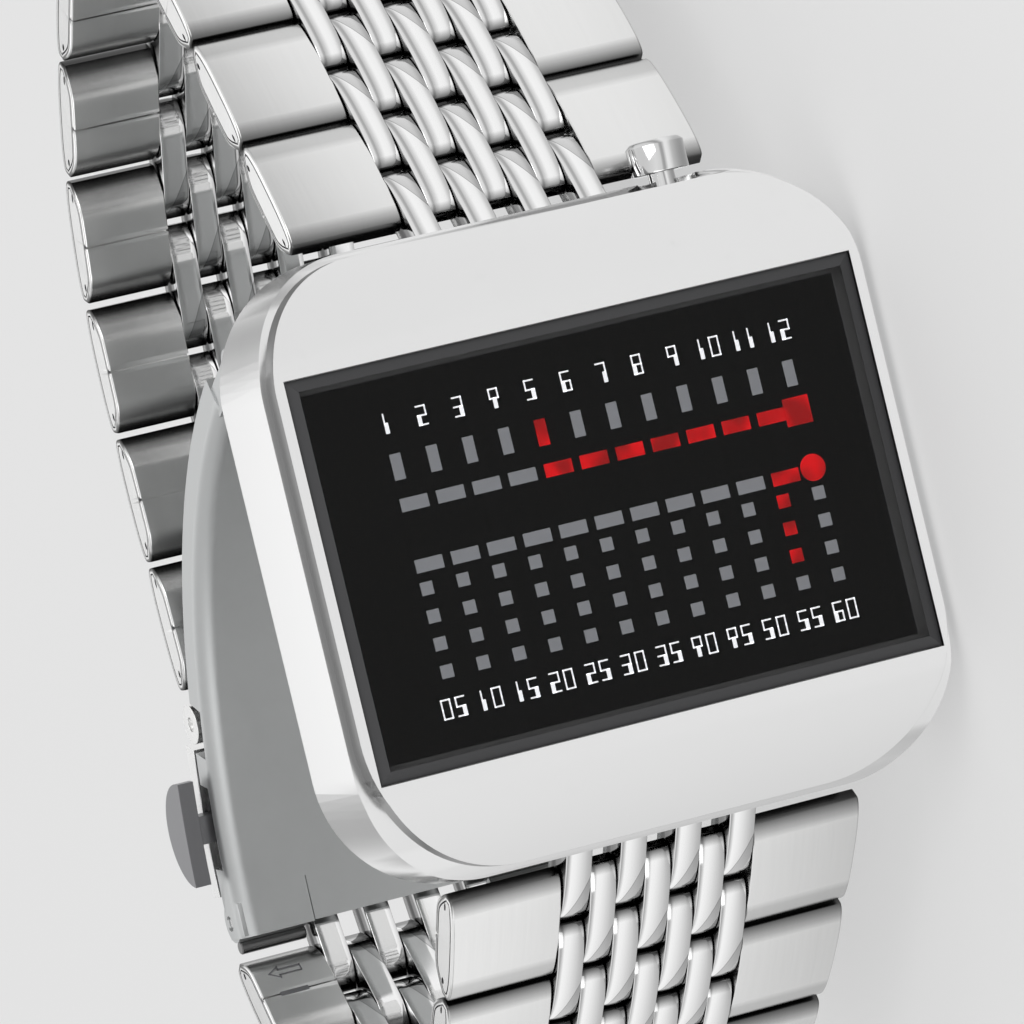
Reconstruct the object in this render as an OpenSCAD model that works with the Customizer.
// LED wristwatch with a flat rectangular steel case, a seven-column bead bracelet and a folding clasp.
// The part lies on its side: +Z is the 9 o'clock side, +X is 12 o'clock and the window faces -Y.
// The origin is the middle of the case back's outer face. Hinge axes all run along Z.

/* [Case] */
// Width of the case, from 9 to 3 o'clock
case_w = 42.6; // [40:0.1:46]
// Height of the case, from 12 to 6 o'clock
case_h = 41.5; // [39:0.1:46]
// Depth from the window to the outer face of the back
case_depth = 11; // [10:0.1:13]
// Corner radius of the band, seen from the front
band_corner_r = 8.4; // [6:0.1:9]
// Corner radius of the front bezel at 12 o'clock
bezel_corner_top = 8; // [6:0.1:9]
// Corner radius of the front bezel at 6 o'clock
bezel_corner_bottom = 10; // [7:0.1:11]
// Step in from the band's side to the bezel's edge
bezel_inset = 0.45; // [0.2:0.05:0.8]
// Thickness of the bezel plate
bezel_t = 1.5; // [1.2:0.1:2]
// Length of each sloped end of the front
slope_len = 6.25; // [4.75:0.05:6.95]
// How far the sloped ends of the front fall
slope_drop = 3; // [2:0.1:4]
// Radius of the convex slope
slope_r = 16; // [12:0.5:30]
// Thickness of the end walls, which hold the bracelet pins
end_wall = 5.2; // [5:0.1:6]
// Thickness of the side walls
side_wall = 1.7; // [1.4:0.1:2.5]
// Thickness of the web behind the glass
web_t = 1.2; // [0.8:0.1:1.6]
// Thickness of the case back
back_t = 1.2; // [1:0.1:2]
// Step in from the band to the back plate's edge
back_inset = 0.9; // [0.6:0.1:1.5]

/* [Window] */
// Width of the front beside the glass
glass_side = 1.2; // [1:0.05:2.3]
// Height of the front above and below the glass
glass_end = 7.45; // [7.15:0.05:8.75]
// Width of the bevel round the glass
glass_bevel = 0.8; // [0.4:0.1:1.2]
// Depth of the bevel
glass_bevel_depth = 0.25; // [0.1:0.05:0.4]
// Width of the ledge that carries the glass
glass_ledge = 0.7; // [0.5:0.1:1]
// Pitch of the twelve light columns
led_pitch = 2.54; // [2.3:0.02:2.6]

/* [Pusher] */
// Distance of the pusher from the middle, towards 3 o'clock
pusher_off = 10.6; // [10:0.1:12]
// Depth of the pusher's axis behind the window
pusher_depth = 5.2; // [4.8:0.1:5.6]
// Diameter of the pusher's head
pusher_d = 3.9; // [3:0.1:4.2]
// Length of the pusher's head
pusher_head = 2.2; // [1.6:0.1:3]
// Gap between the head and the case
pusher_gap = 0.5; // [0.3:0.1:0.8]
// Diameter of the pusher's stem
stem_d = 1.8; // [1.4:0.1:2]
// Travel of the pusher
pusher_travel = 0.8; // [0.5:0.1:0.9]

/* [Bracelet] */
// Pitch of the wide links
link_pitch = 9.4; // [9:0.1:9.8]
// Number of wide links on the 12 o'clock side
upper_links = 11; // [9:1:11]
// Number of wide links on the 6 o'clock side
lower_links = 7; // [6:1:7]
// Width of the bracelet at the case
strap_w_case = 29.6; // [28:0.1:31]
// Width of the bracelet at the clasp
strap_w_clasp = 25; // [24:0.1:26.5]
// Gap between the tips of neighbouring links
tip_gap = 0.4; // [0.3:0.05:0.6]
// Height of the wide link's crown over its pins
link_crown = 1.6; // [1.3:0.05:1.9]
// Depth of the wide link's inner flaps under its pins
link_belly = 1.3; // [1.15:0.05:1.4]
// Number of bead columns
bead_columns = 7; // [5:2:7]
// Pitch of the bead columns
column_pitch = 1.97; // [1.8:0.01:2.1]
// Gap between neighbouring bead columns
column_gap = 0.07; // [0.05:0.01:0.1]
// Height of a bead's crown over its pins
bead_crown = 1.75; // [1.5:0.05:2]
// Depth of a bead's inner face under its pins
bead_belly = 1; // [0.85:0.05:1]
// Radius of a bead's domed section
bead_dome_r = 2.4; // [1.05:0.05:3]
// Diameter of the link pins
pin_d = 1; // [0.8:0.05:1.1]
// Running clearance of a bead on its pin
pin_play = 0.03; // [0.02:0.01:0.06]
// Width of the fold lines in the wide links
fold_gap = 0.12; // [0.08:0.01:0.16]
// Sheet thickness of the folded wide links
sheet_t = 0.5; // [0.4:0.05:0.55]

/* [Clasp] */
// Depth of the bracelet's loop, from the case back to the blade's far end
loop_depth = 47.7; // [47:0.1:48.4]
// Distance of the blade's centre from the middle of the case, towards 6 o'clock
clasp_off = 22.7; // [22.2:0.1:23.2]
// Inner radius of the curved base blade
clasp_r = 39.6; // [38.5:0.1:40.5]
// Sheet thickness of the base blade
base_t = 0.9; // [0.7:0.05:1]
// Depth of the blade's turned edges
flange_depth = 3; // [2.6:0.1:3.1]
// Thickness of the folding arm
arm_t = 0.8; // [0.6:0.05:0.9]
// Thickness of the clasp cover
cover_t = 1.5; // [1.2:0.1:1.8]
// Travel of the two clasp buttons
button_travel = 0.8; // [0.6:0.05:0.8]
// Diameter of the clasp's hinge pins
hinge_pin_d = 1.1; // [0.9:0.05:1.2]

/* [Hidden] */
$fn = 48;
pad = 1;

// Case planes along Y
y_window = -case_depth;
y_shelf = y_window + bezel_t;
y_web = y_shelf + web_t;
y_back = -back_t;
half_h = case_h / 2;
half_w = case_w / 2;
front_flat = half_h - slope_len;
glass_w = case_w - 2 * glass_side;
glass_h = case_h - 2 * glass_end;
cavity_x = half_h - end_wall;
cavity_z = half_w - side_wall;
bezel_w = case_w - 2 * bezel_inset;
bezel_h = case_h - 2 * bezel_inset;
fit_gap = 0.05;

// Bracelet layout
half_pitch = link_pitch / 2;
pin_r = pin_d / 2;
link_len = link_pitch - tip_gap;
bead_w = column_pitch - column_gap;
beads_half = (bead_columns * column_pitch + column_gap) / 2;
link_inner_z = beads_half + column_gap / 2;
// Places of the pins in the case, as inset from the end face and depth behind the window
case_pin_inset = 1.5;
upper_pin_depth = 6.9;
lower_pin_depth = 6.6;
upper_start = [half_h - case_pin_inset, y_window + upper_pin_depth];
lower_start = [-half_h + case_pin_inset, y_window + lower_pin_depth];
pocket_half = beads_half + 0.15;
pocket_r = 1.6;
pocket_relief = 2;
case_pin_len = 2 * (pocket_half + 1.7);

// Clasp layout in polar form about the blade's centre: angle 0 points along +Y and grows towards +X
clasp_centre = [-clasp_off, loop_depth - clasp_r];
base_half = strap_w_clasp / 2;
flange_t = base_t;
r_base_out = clasp_r + base_t;
r_arm = r_base_out + 0.3;
r_arm_out = r_arm + arm_t;
r_flange_out = clasp_r + flange_depth;
r_cover = r_flange_out + 0.45;
r_cover_out = r_cover + cover_t;
knuckle_r = 1.45;
r_upper_knuckle = r_arm_out + knuckle_r + 0.2;
upper_knuckle_a = 20.6;
lower_knuckle_a = 1;
r_lower_knuckle = r_base_out + knuckle_r + 0.15;
base_a0 = -0.6;
notch_a = 4.2;
hinge_a = 70.2;
base_a1 = hinge_a - 4.7;
r_hinge = clasp_r + 1.5;
hinge_tube_r = 1.25;
cover_a0 = 3.6;
cover_a1 = 18.1;
cover_pin_a = 16.4;
r_cover_pin = r_arm + 1.15;
cover_tube_r = 0.9;
cover_pin_r = 0.45;
button_a = 10.6;
button_len = 7.6;
post_a = 10.6;

function polar(r, a) = clasp_centre + r * [sin(a), cos(a)];
upper_knuckle = polar(r_upper_knuckle, upper_knuckle_a);
lower_knuckle = polar(r_lower_knuckle, lower_knuckle_a);
top_hinge = polar(r_hinge, hinge_a);
cover_pin = polar(r_cover_pin, cover_pin_a);

// A chain of half-pitch steps from start to finish. Its bends follow bumps along its length, each a place,
// a spread and a size, and one factor on all of them closes the chain. The last step has a set heading.
function sum(v) = v * [for (i = v) 1];
function bend(u, base, bumps) = base + sum([for (b = bumps) b[2] * exp(-pow((u - b[0]) / b[1], 2))]);
function bend_sums(n, base, bumps) = [for (j = 0, s = 0; j < n; s = s + bend((j + 1) / n, base, bumps), j = j + 1) s];
function reach(sums, f) = [sum([for (s = sums) cos(f * s)]), sum([for (s = sums) sin(f * s)])];
function bend_factor(sums, want, lo, hi, left = 40) =
    let (mid = (lo + hi) / 2)
    left == 0 ? mid
    : norm(reach(sums, mid)) > want ? bend_factor(sums, want, mid, hi, left - 1)
    : bend_factor(sums, want, lo, mid, left - 1);
function chain(start, finish, last, n, side, base, bumps) =
    let (
        target = finish - half_pitch * [cos(last), sin(last)],
        sums = bend_sums(n - 1, base, bumps),
        f = bend_factor(sums, norm(target - start) / half_pitch, 0, 300 / sums[n - 2]),
        d = reach(sums, f),
        gap = target - start,
        turn = atan2(gap[1], gap[0]) - side * atan2(d[1], d[0]),
        heads = [for (s = sums) turn + side * f * s, last],
        xs = [for (j = 0, x = start[0]; j < n; x = x + half_pitch * cos(heads[j]), j = j + 1) x],
        ys = [for (j = 0, y = start[1]; j < n; y = y + half_pitch * sin(heads[j]), j = j + 1) y]
    )
    concat([for (j = [0 : n - 1]) [xs[j], ys[j]]], [finish]);

upper_steps = 2 * upper_links + 1;
lower_steps = 2 * lower_links + 1;
upper_last = 170;
lower_last = 16;
upper_bumps = [[0.4, 0.1, 1], [0.7, 0.12, 0.3]];
lower_bumps = [[0.62, 0.3, 1]];
upper_pins = chain(upper_start, upper_knuckle, upper_last, upper_steps, 1, 0.02, upper_bumps);
lower_pins = chain(lower_start, lower_knuckle, lower_last, lower_steps, -1, 0.12, lower_bumps);

function heading(p, q) = atan2(q[1] - p[1], q[0] - p[0]);
function half_width(u) = (strap_w_case + u * (strap_w_clasp - strap_w_case)) / 2;
function two(i) = str(i < 10 ? "0" : "", i);
function beads_name(side, i) = str(side, "_beads_", two(i));
function link_name(side, i) = str(side, "_link_", two(i));

// An outline drawn with x along X and y along Z, raised from y0 to y1 along Y
module along_y(y0, y1) {
    translate([0, y1, 0]) rotate([90, 0, 0]) linear_extrude(y1 - y0) children();
}

// An outline drawn in the X and Y plane, raised from z0 to z1
module along_z(z0, z1) {
    translate([0, 0, z0]) linear_extrude(z1 - z0) children();
}

// A rectangle x0 to x1 by w with corners of radius r0 at x0 and r1 at x1
module soft_rect(x0, x1, w, r0, r1) {
    translate([x0 + r0, -w / 2]) square([x1 - x0 - r0 - r1, w]);
    translate([x0, -w / 2 + r0]) square([r0 + 0.01, w - 2 * r0]);
    translate([x1 - r1 - 0.01, -w / 2 + r1]) square([r1 + 0.01, w - 2 * r1]);
    for (s = [-1, 1]) {
        translate([x0 + r0, s * (w / 2 - r0)]) circle(r0);
        translate([x1 - r1, s * (w / 2 - r1)]) circle(r1);
    }
}

// The side view of the front: flat in the middle with a convex slope at each end
module front_profile(drop_y) {
    p = [front_flat, y_window];
    q = [half_h, y_window + slope_drop];
    chord = q - p;
    mid = (p + q) / 2;
    inward = [-chord[1], chord[0]] / norm(chord);
    centre = mid + inward * sqrt(slope_r * slope_r - pow(norm(chord) / 2, 2));
    translate([0, drop_y]) difference() {
        translate([-half_h - pad, y_window]) square([case_h + 2 * pad, case_depth + 2 * pad]);
        for (s = [0, 1]) mirror([s, 0]) difference() {
            translate([front_flat - pad, y_window - pad])
                square([half_h + 3 * pad - front_flat, slope_drop + 3 * pad]);
            translate(centre) circle(slope_r, $fn = 160);
        }
    }
}

module band_outline() {
    soft_rect(-half_h, half_h, case_w, band_corner_r, band_corner_r);
}

module band_blank() {
    intersection() {
        along_y(y_window, y_back) band_outline();
        along_z(-half_w, half_w) front_profile(bezel_t);
    }
}

// The half-round pocket where the first beads enter the case
module bead_pocket(pin, s) {
    along_z(-pocket_half, pocket_half) {
        translate(pin) circle(pocket_r);
        translate([s > 0 ? pin[0] : -half_h - pad, pin[1] - pocket_r]) square([case_pin_inset + pad, 2 * pocket_r]);
        translate([s * half_h, pin[1] + pocket_r]) rotate(45) square(pocket_relief, center = true);
    }
}

screw_x = half_h - 3.7;
screw_z = half_w - 3.1;
screw_d = 1;
screw_head_d = 2;
screw_head_t = 0.7;
screw_len = 3.4;

module at_screws() {
    for (sx = [-1, 1], sz = [-1, 1]) translate([sx * screw_x, 0, sz * screw_z]) rotate([90, 0, 0]) children();
}

gasket_w = 0.55;
gasket_t = 0.6;
gasket_inset = 0.35;

module gasket_ring(grow) {
    x1 = cavity_x + gasket_inset + gasket_w + grow;
    z1 = cavity_z + gasket_inset + gasket_w + grow;
    x0 = cavity_x + gasket_inset - grow;
    z0 = cavity_z + gasket_inset - grow;
    difference() {
        soft_rect(-x1, x1, 2 * z1, 3, 3);
        soft_rect(-x0, x0, 2 * z0, 2.4, 2.4);
    }
}

pusher_y = y_window + pusher_depth;
spring_bore_d = pusher_d - 0.7;
spring_x0 = half_h - 3.5;
seal_x = cavity_x + 0.9;
seal_r = 0.45;

module at_pusher() {
    translate([0, pusher_y, -pusher_off]) rotate([0, 90, 0]) children();
}

module case_band() {
    color("gainsboro") difference() {
        band_blank();
        along_y(y_web, y_back + pad) soft_rect(-cavity_x, cavity_x, 2 * cavity_z, 2, 2);
        along_y(y_window, y_web + pad)
            square([glass_h - 2 * glass_ledge, glass_w - 2 * glass_ledge], center = true);
        bead_pocket(upper_start, 1);
        bead_pocket(lower_start, -1);
        for (p = [upper_start, lower_start]) translate([p[0], p[1], 0])
            cylinder(r = pin_r + 0.01, h = case_pin_len, center = true);
        at_screws() cylinder(d = screw_d + 0.04, h = back_t + screw_len, center = false);
        along_y(y_back - gasket_t, y_back + pad) gasket_ring(0.03);
        at_pusher() {
            cylinder(d = stem_d + 0.1, h = half_h + pad);
            translate([0, 0, spring_x0]) cylinder(d = spring_bore_d, h = end_wall);
            translate([0, 0, half_h - 0.5]) cylinder(d = pusher_d + 0.5, h = pad);
            translate([0, 0, seal_x - seal_r - 0.05]) cylinder(d = stem_d + 4 * seal_r + 0.2, h = 2 * seal_r + 0.1);
        }
    }
}

module front_bezel() {
    color("whitesmoke") difference() {
        intersection() {
            along_y(y_window - pad, 0)
                soft_rect(-bezel_h / 2, bezel_h / 2, bezel_w, bezel_corner_bottom, bezel_corner_top);
            along_z(-half_w, half_w) difference() {
                front_profile(0);
                front_profile(bezel_t);
            }
        }
        along_y(y_window - pad, 0) square([glass_h + 2 * fit_gap, glass_w + 2 * fit_gap], center = true);
        at_pusher() translate([0, 0, spring_x0]) cylinder(d = spring_bore_d, h = end_wall);
    }
}

module case_back() {
    corner = band_corner_r - back_inset;
    color("silver") difference() {
        along_y(y_back, 0)
            soft_rect(-half_h + back_inset, half_h - back_inset, case_w - 2 * back_inset, corner, corner);
        at_screws() {
            translate([0, 0, -pad]) cylinder(d = screw_d + 0.1, h = back_t + 2 * pad);
            translate([0, 0, -pad]) cylinder(d = screw_head_d + 0.1, h = screw_head_t + pad);
        }
    }
}

module back_screws() {
    color("dimgray") at_screws() difference() {
        union() {
            cylinder(d = screw_head_d, h = screw_head_t);
            cylinder(d = screw_d, h = back_t + screw_len - 0.2);
        }
        translate([-screw_head_d, -0.15, -pad]) cube([2 * screw_head_d, 0.3, pad + 0.3]);
    }
}

module back_gasket() {
    color("black") along_y(y_back - gasket_t, y_back) gasket_ring(0);
}

module window_glass() {
    slope = atan(glass_bevel_depth / glass_bevel);
    color([0.05, 0.05, 0.05]) difference() {
        along_y(y_window, y_shelf) square([glass_h, glass_w], center = true);
        for (s = [-1, 1]) {
            translate([s * glass_h / 2, y_window + glass_bevel_depth, 0]) rotate([0, 0, s * slope])
                translate([-2 * glass_bevel, -2, -glass_w]) cube([4 * glass_bevel, 2, 2 * glass_w]);
            translate([0, y_window + glass_bevel_depth, s * glass_w / 2]) rotate([-s * slope, 0, 0])
                translate([-glass_h, -2, -2 * glass_bevel]) cube([2 * glass_h, 2, 4 * glass_bevel]);
        }
    }
}

// One mark of the display at u to the right of the middle and v above it, as seen from the front
module mark(u, v, du, dv) {
    translate([v - dv / 2, -u - du / 2]) square([dv, du]);
}

function column_u(i) = (i - 5.5) * led_pitch;
row_shift = 0.55;

module display_marks() {
    for (i = [0 : 11]) {
        mark(column_u(i), 6.4, 0.84, 1.79);
        for (k = [0 : 3]) mark(column_u(i), -1.65 - 1.83 * k, 0.93, 0.93);
    }
    for (i = [0 : 10]) {
        mark(column_u(i) + row_shift, 3.9, 2.02, 0.94);
        mark(column_u(i) + row_shift, -0.15, 2.02, 0.94);
    }
    mark(column_u(11) - 0.1, 3.9, 1.9, 1.9);
    translate([0.05, -column_u(11) - row_shift / 2]) circle(0.92);
}

mask_t = 0.3;
board_t = 0.8;
led_h = 1.1;
y_mask = y_shelf + 0.02;
y_leds = y_mask + mask_t + 0.05;
y_board = y_leds + led_h;
board_x = cavity_x - 0.35;
board_z = cavity_z - 0.35;

module display_mask() {
    color("black") along_y(y_mask, y_mask + mask_t) difference() {
        square([glass_h - 2 * glass_ledge - 0.2, glass_w - 2 * glass_ledge - 0.2], center = true);
        display_marks();
    }
}

module leds() {
    color("red") along_y(y_leds, y_board) display_marks();
}

// A relief in the board and the frame for the pusher's inner end
module pusher_relief() {
    translate([cavity_x - 1.9, pusher_y - 2, -pusher_off - 2]) cube([3, 4, 4]);
}

module circuit_board() {
    color("darkgreen") difference() {
        along_y(y_board, y_board + board_t) soft_rect(-board_x, board_x, 2 * board_z, 1.5, 1.5);
        pusher_relief();
    }
}

cell_d = 20;
cell_t = 3.2;
cell_x = 5;
cell_z = 8.8;
y_cells = y_back - 0.3 - cell_t;

module at_cells() {
    for (s = [-1, 1]) translate([s * cell_x, y_cells + cell_t, s * cell_z]) rotate([90, 0, 0]) children();
}

module module_frame() {
    color("ivory") difference() {
        along_y(y_board + board_t, y_back - 0.3) soft_rect(-board_x, board_x, 2 * board_z, 1.5, 1.5);
        at_cells() translate([0, 0, -pad]) cylinder(d = cell_d + 0.2, h = cell_t + pad);
        pusher_relief();
    }
}

module batteries() {
    color("lightsteelblue") at_cells() {
        cylinder(d = cell_d, h = cell_t - 0.4);
        cylinder(d = cell_d - 2.4, h = cell_t);
    }
}

module pusher() {
    head_x = half_h + pusher_gap;
    color("gainsboro") at_pusher() {
        translate([0, 0, head_x]) cylinder(d = pusher_d, h = pusher_head - 0.3);
        translate([0, 0, head_x + pusher_head - 0.3])
            cylinder(d1 = pusher_d, d2 = pusher_d - 0.6, h = 0.3);
        translate([0, 0, cavity_x - 0.5]) cylinder(d = stem_d, h = head_x - cavity_x + 1);
        translate([0, 0, cavity_x - 0.6]) cylinder(d = stem_d + 1, h = 0.5);
    }
}

// A helical spring along +Z: r to the wire's middle, h tall, wire w thick
module coil(r, h, w, turns) {
    steps = 12;
    sides = 6;
    rings = turns * steps + 1;
    ring = [for (i = [0 : rings - 1], k = [0 : sides - 1])
        let (a = 360 * i / steps, b = 360 * k / sides, rr = r + w / 2 * cos(b))
        [rr * cos(a), rr * sin(a), w / 2 + (h - w) * i / (rings - 1) + w / 2 * sin(b)]];
    walls = [for (i = [0 : rings - 2], k = [0 : sides - 1])
        let (k2 = (k + 1) % sides, p = i * sides, q = p + sides)
        each [[p + k, p + k2, q + k2], [p + k, q + k2, q + k]]];
    first = [for (k = [1 : sides - 2]) [0, k + 1, k]];
    e = (rings - 1) * sides;
    final = [for (k = [1 : sides - 2]) [e, e + k, e + k + 1]];
    polyhedron(ring, [for (f = concat(walls, first, final)) [f[0], f[2], f[1]]]);
}

module pusher_spring() {
    free = half_h + pusher_gap - pusher_travel - spring_x0 - 0.1;
    color("silver") at_pusher() translate([0, 0, spring_x0 + 0.02])
        coil((stem_d + spring_bore_d) / 4, free, 0.4, 4);
}

module pusher_seal() {
    color("black") at_pusher() translate([0, 0, seal_x])
        rotate_extrude() translate([stem_d / 2 + fit_gap + seal_r, 0]) circle(seal_r);
}

module case_pins() {
    color("silver") for (p = [upper_start, lower_start]) translate([p[0], p[1], 0])
        cylinder(r = pin_r, h = case_pin_len - 0.1, center = true);
}

// Side views of the links, drawn with x along the chain and y outwards from the pins
function arch_r(half, rise) = (half * half + rise * rise) / (2 * rise);
link_tip = 0.7;
bead_tip = 0.5;
end_rise = 0.12;

module inner_shape(belly) {
    depth = belly + 0.55;
    r = arch_r(link_len / 2, depth + end_rise);
    intersection() {
        translate([0, r - depth]) circle(r, $fn = 96);
        translate([-link_len / 2, -belly]) square([link_len, belly + 4]);
    }
}

module pin_holes(r) {
    for (s = [-1, 1]) translate([s * half_pitch / 2, 0]) circle(r);
}

// The folded sheet of a wide link: two flaps that meet at the middle of the inner face and curl round the pins
module folded_side() {
    r = arch_r(link_len / 2, link_crown - link_tip);
    curl = pin_r + sheet_t;
    difference() {
        intersection() {
            inner_shape(link_belly);
            translate([0, link_crown - r]) circle(r, $fn = 96);
        }
        pin_holes(pin_r + 0.02);
        translate([-fold_gap / 2, -link_belly - pad]) square([fold_gap, pad + link_belly - curl + fold_gap]);
        translate([-half_pitch / 2, -curl]) square([half_pitch, fold_gap]);
        for (s = [0, 1]) mirror([s, 0]) translate([half_pitch / 2, 0]) intersection() {
            difference() {
                circle(curl);
                circle(curl - fold_gap);
            }
            translate([-curl / 2, -curl - pad]) square([curl * 2, curl + pad + 0.6 * curl]);
        }
    }
}

// A wide link from link_inner_z outwards, wa wide at its case end and wb at its clasp end
module wide_link(wa, wb) {
    for (s = [0, 1]) mirror([0, 0, s]) intersection() {
        along_z(link_inner_z, max(wa, wb)) folded_side();
        translate([0, 4, 0]) rotate([90, 0, 0]) linear_extrude(8)
            polygon([[-half_pitch, 0], [half_pitch, 0], [half_pitch, wb], [-half_pitch, wa]]);
    }
}

// A polished bead, domed across and arched along, cut off at a and b from its middle
module bead(hole_r, a, b) {
    r = arch_r(link_len / 2, bead_crown - bead_tip);
    shoulder = r - bead_dome_r + sqrt(pow(bead_dome_r, 2) - pow(bead_w / 2, 2));
    sweep = asin(link_len / 2 / r) + 3;
    difference() {
        intersection() {
            translate([0, bead_crown - r, 0]) rotate([0, 0, 90 - sweep]) rotate_extrude(angle = 2 * sweep) {
                translate([0.3 * r, -bead_w / 2]) square([shoulder - 0.3 * r, bead_w]);
                intersection() {
                    translate([r - bead_dome_r, 0]) circle(bead_dome_r, $fn = 64);
                    translate([0.5 * r, -bead_w / 2]) square([0.5 * r, bead_w]);
                }
            }
            along_z(-bead_w, bead_w) intersection() {
                inner_shape(bead_belly);
                translate([a, -3]) square([b - a, 6]);
            }
        }
        along_z(-bead_w, bead_w) pin_holes(hole_r);
    }
}

function column_z(c) = (c - (bead_columns - 1) / 2) * column_pitch;

// A row of beads in every second column, which hangs between two links
module bead_row(a, b) {
    for (c = [0 : 2 : bead_columns - 1]) translate([0, 0, column_z(c)]) bead(pin_r + pin_play, a, b);
}

// A wide link pair with the beads between them and its two pins
module link_row(wa, wb) {
    wide_link(wa, wb);
    for (c = [1 : 2 : bead_columns - 2]) translate([0, 0, column_z(c)])
        bead(pin_r + 0.02, -link_len / 2, link_len / 2);
    for (s = [-1, 1]) translate([s * half_pitch / 2, 0, 0])
        cylinder(r = pin_r, h = 2 * min(wa, wb) - 0.5, center = true);
}

// Puts a row drawn in its own side view on step j of a chain, with y outwards from the loop
module on_step(pins, j, side) {
    p = pins[j];
    q = pins[j + 1];
    translate([(p[0] + q[0]) / 2, (p[1] + q[1]) / 2, 0]) rotate([0, 0, heading(p, q)])
        mirror([0, side > 0 ? 1 : 0, 0]) children();
}

tail = half_pitch / 2 + pin_r + 0.5;

module beads_of(pins, i, count, side) {
    a = i == 0 ? -tail : -link_len / 2;
    b = i == count ? tail : link_len / 2;
    color("gainsboro") on_step(pins, 2 * i, side) bead_row(a, b);
}

module link_of(pins, i, count, side) {
    wa = half_width((i - 1) / count);
    wb = half_width(i / count);
    color("silver") on_step(pins, 2 * i - 1, side) link_row(wa, wb);
}

// Part of a ring about the clasp's centre between angles a0 and a1
module ring_part(r0, r1, a0, a1) {
    am = (a0 + a1) / 2;
    far = 1.3 * r1;
    translate(clasp_centre) intersection() {
        difference() {
            circle(r1, $fn = 180);
            circle(r0, $fn = 180);
        }
        polygon([[0, 0], far * [sin(a0), cos(a0)], far * [sin(am), cos(am)], far * [sin(a1), cos(a1)]]);
    }
}

// A section drawn with x as radius and y along Z, swept about the clasp's centre from a0 to a1
module swept(a0, a1) {
    translate([clasp_centre[0], clasp_centre[1], 0]) rotate([0, 0, 90 - a1])
        rotate_extrude(angle = a1 - a0, $fn = 180) children();
}

module at_clasp(p, z0, z1) {
    translate([p[0], p[1], z0]) linear_extrude(z1 - z0) children();
}

// The blade's section: a sheet with both edges turned outwards over a round bend
module blade_section() {
    bend = 1.3;
    difference() {
        union() {
            translate([clasp_r + bend, -base_half]) square([flange_depth - bend, 2 * base_half]);
            translate([clasp_r, -base_half + bend]) square([bend + 0.01, 2 * (base_half - bend)]);
            for (s = [-1, 1]) translate([clasp_r + bend, s * (base_half - bend)]) circle(bend);
        }
        translate([r_base_out, -base_half + flange_t]) square([flange_depth, 2 * (base_half - flange_t)]);
    }
}

side_knuckle_z = link_inner_z + 0.1;
knuckle_end_z = base_half - 0.15;
hinge_z = 8.4;
lug_z = 6.75;
lug_end_z = 8.6;
lug_clear_a = cover_pin_a + 1.8;
arm_half = base_half - 1.6;
arm_end_half = lug_z - 0.25;
arm_window_half = 4.5;
arm_window_a0 = 32;
arm_window_a1 = 52;
post_z = 5.9;
post_end_z = 7.5;
flange_notch_z = base_half - 2.5;

module clasp_base() {
    color("darkgray") difference() {
        union() {
            swept(base_a0, base_a1 - 1.5) blade_section();
            for (s = [0, 1]) mirror([0, 0, s]) {
                at_clasp(lower_knuckle, side_knuckle_z, knuckle_end_z) circle(knuckle_r);
                along_z(side_knuckle_z, knuckle_end_z)
                    ring_part(clasp_r + 0.3, r_lower_knuckle, base_a0 + 0.2, 3);
                along_z(hinge_z, knuckle_end_z) ring_part(clasp_r + 0.3, r_hinge + 0.8, base_a1 - 2.5, hinge_a);
                at_clasp(top_hinge, hinge_z, knuckle_end_z) circle(hinge_tube_r);
                along_z(post_z, post_end_z) ring_part(clasp_r + 0.2, r_base_out + 1.2, post_a - 2, post_a + 2);
            }
        }
        along_z(-side_knuckle_z, side_knuckle_z) ring_part(clasp_r - pad, r_base_out + pad, base_a0 - pad, notch_a);
        along_z(-pad - base_half, pad + base_half) {
            translate(lower_knuckle) circle(hinge_pin_d / 2 + 0.02);
            translate(top_hinge) circle(hinge_pin_d / 2 + 0.02);
        }
        for (s = [0, 1]) mirror([0, 0, s]) {
            along_z(flange_notch_z, base_half + pad)
                ring_part(r_base_out + 0.2, r_flange_out + pad, upper_knuckle_a - 2.6, upper_knuckle_a + 2.5);
            along_z(flange_notch_z, base_half + pad)
                ring_part(r_base_out + 0.6, r_flange_out + pad, button_a - 4.2, button_a + 4.2);
            along_z(post_z - 0.9, post_z + 0.7) ring_part(r_base_out + 0.15, r_base_out + 0.75, post_a - 2.5, post_a + 2.5);
        }
    }
}

module clasp_arm() {
    color("gray") difference() {
        union() {
            along_z(0.5 - hinge_z, hinge_z - 0.5) {
                ring_part(r_arm, r_arm_out, lug_clear_a, hinge_a - 0.5);
                translate(top_hinge) circle(hinge_tube_r);
            }
            along_z(-arm_half, arm_half) ring_part(r_arm, r_arm_out, upper_knuckle_a + 3, base_a1 - 3.5);
            along_z(-arm_end_half, arm_end_half) {
                ring_part(r_arm, r_arm_out, cover_pin_a + 0.4, lug_clear_a + 1);
                translate(cover_pin) circle(cover_tube_r);
            }
        }
        along_z(-base_half, base_half) {
            translate(top_hinge) circle(hinge_pin_d / 2 + pin_play);
            translate(cover_pin) circle(cover_pin_r + pin_play);
        }
        along_z(-arm_window_half, arm_window_half)
            ring_part(r_arm - pad, r_arm_out + pad, arm_window_a0, arm_window_a1);
    }
}

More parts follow.
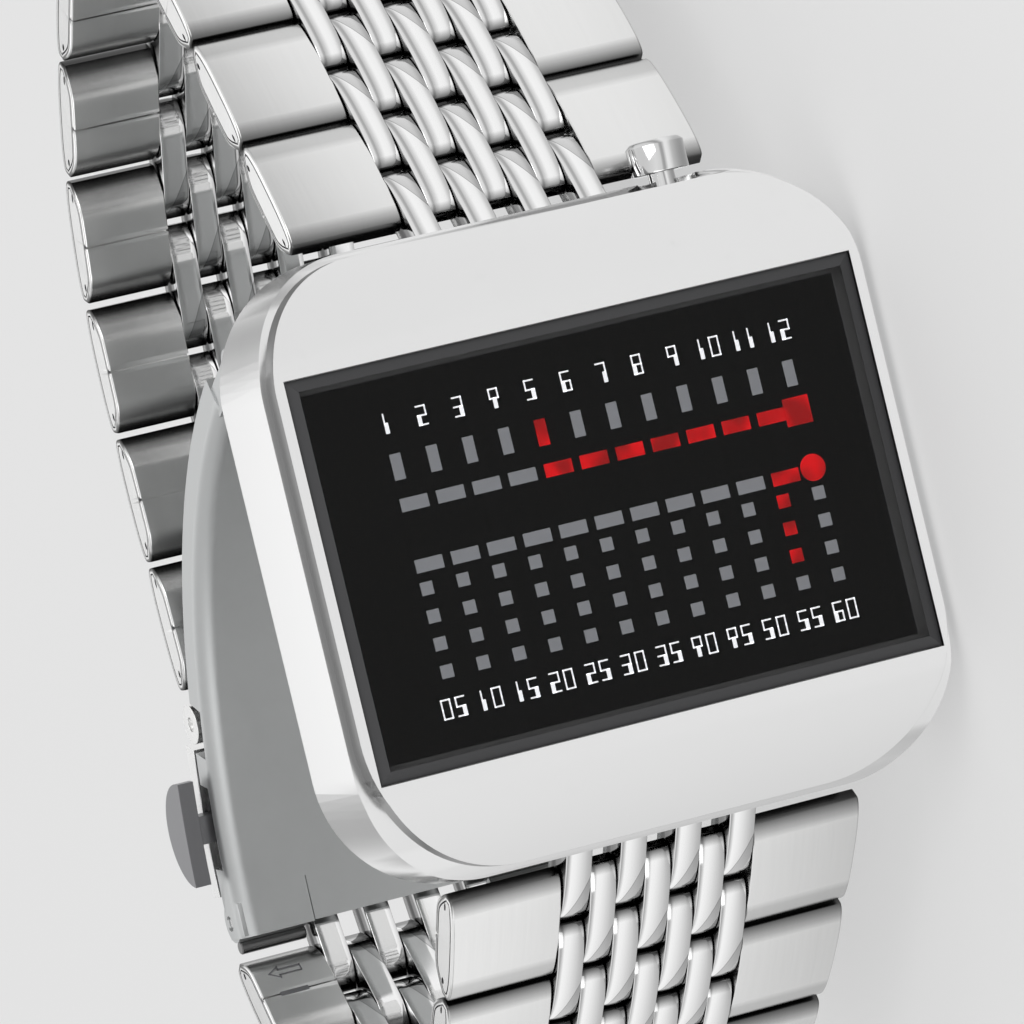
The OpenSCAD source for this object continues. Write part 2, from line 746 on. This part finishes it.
module clasp_cover() {
    color("silver") {
        difference() {
            union() {
                swept(cover_a0, cover_a1)
                    translate([r_cover, -base_half]) square([cover_t, 2 * base_half]);
                for (s = [0, 1]) mirror([0, 0, s]) {
                    at_clasp(upper_knuckle, side_knuckle_z, base_half - 0.1) circle(knuckle_r);
                    along_z(side_knuckle_z, 9.6)
                        ring_part(r_cover + 0.1, r_cover_out - 0.1, cover_a1 - 0.6, upper_knuckle_a);
                    at_clasp(cover_pin, lug_z, lug_end_z) circle(cover_tube_r);
                    along_z(lug_z, lug_end_z)
                        ring_part(r_cover_pin, r_cover + 0.2, cover_pin_a - 1.2, cover_pin_a + 1.2);
                    for (t = [-1, 1]) along_z(7.9, 11.3)
                        ring_part(r_cover - 1.05, r_cover + 0.2, button_a + t * 2.1 - 0.5, button_a + t * 2.1 + 0.5);
                }
            }
            along_z(-pad - base_half, pad + base_half) {
                translate(upper_knuckle) circle(pin_r + 0.02);
                translate(cover_pin) circle(cover_pin_r + 0.02);
            }
        }
        at_clasp(upper_knuckle, -base_half + 0.4, base_half - 0.4) circle(pin_r);
        at_clasp(cover_pin, -lug_end_z + 0.1, lug_end_z - 0.1) circle(cover_pin_r);
    }
}

module clasp_pins() {
    color("silver") {
        at_clasp(top_hinge, -base_half + 0.2, base_half - 0.2) circle(hinge_pin_d / 2);
        for (s = [0, 1]) mirror([0, 0, s])
            at_clasp(lower_knuckle, side_knuckle_z + 0.35, base_half - 0.2) circle(hinge_pin_d / 2);
    }
}

bar_r0 = r_base_out + 1.35;
bar_r1 = r_cover - 0.15;

// One clasp button: a half-round head outside the cover, a bar under it and a hook behind the blade's post
module clasp_button() {
    along_z(base_half + button_travel + 0.15, base_half + button_travel + 1.35) intersection() {
        translate(polar(r_base_out + 0.8, button_a)) circle(button_len / 2);
        ring_part(r_base_out + 0.8, r_cover_out + 3, button_a - 8, button_a + 8);
    }
    along_z(4.5, base_half + button_travel + 0.2) ring_part(bar_r0, bar_r1, button_a - 1.4, button_a + 1.4);
    along_z(4.5, 5.3) ring_part(r_base_out + 0.28, bar_r1, button_a - 1.4, button_a + 1.4);
    along_z(4.5, 6.2) ring_part(r_base_out + 0.28, r_base_out + 0.62, button_a - 1.4, button_a + 1.4);
}

module clasp_button_left() {
    color("dimgray") clasp_button();
}

module clasp_button_right() {
    color("dimgray") mirror([0, 0, 1]) clasp_button();
}

module clasp_spring() {
    half = 4.5 - button_travel - 0.05;
    p = polar((bar_r0 + bar_r1) / 2, button_a);
    color("silver") translate([p[0], p[1], -half]) coil(0.32, 2 * half, 0.22, 8);
}

case_band();
front_bezel();
case_back();
back_screws();
back_gasket();
window_glass();
display_mask();
leds();
circuit_board();
module_frame();
batteries();
pusher();
pusher_spring();
pusher_seal();
case_pins();
clasp_cover();
clasp_arm();
clasp_base();
clasp_pins();
clasp_spring();
clasp_button_left();
clasp_button_right();
for (i = [0 : upper_links])
    beads_of(upper_pins, i, upper_links, 1);
for (i = [1 : upper_links])
    link_of(upper_pins, i, upper_links, 1);
for (i = [0 : lower_links])
    beads_of(lower_pins, i, lower_links, -1);
for (i = [1 : lower_links])
    link_of(lower_pins, i, lower_links, -1);
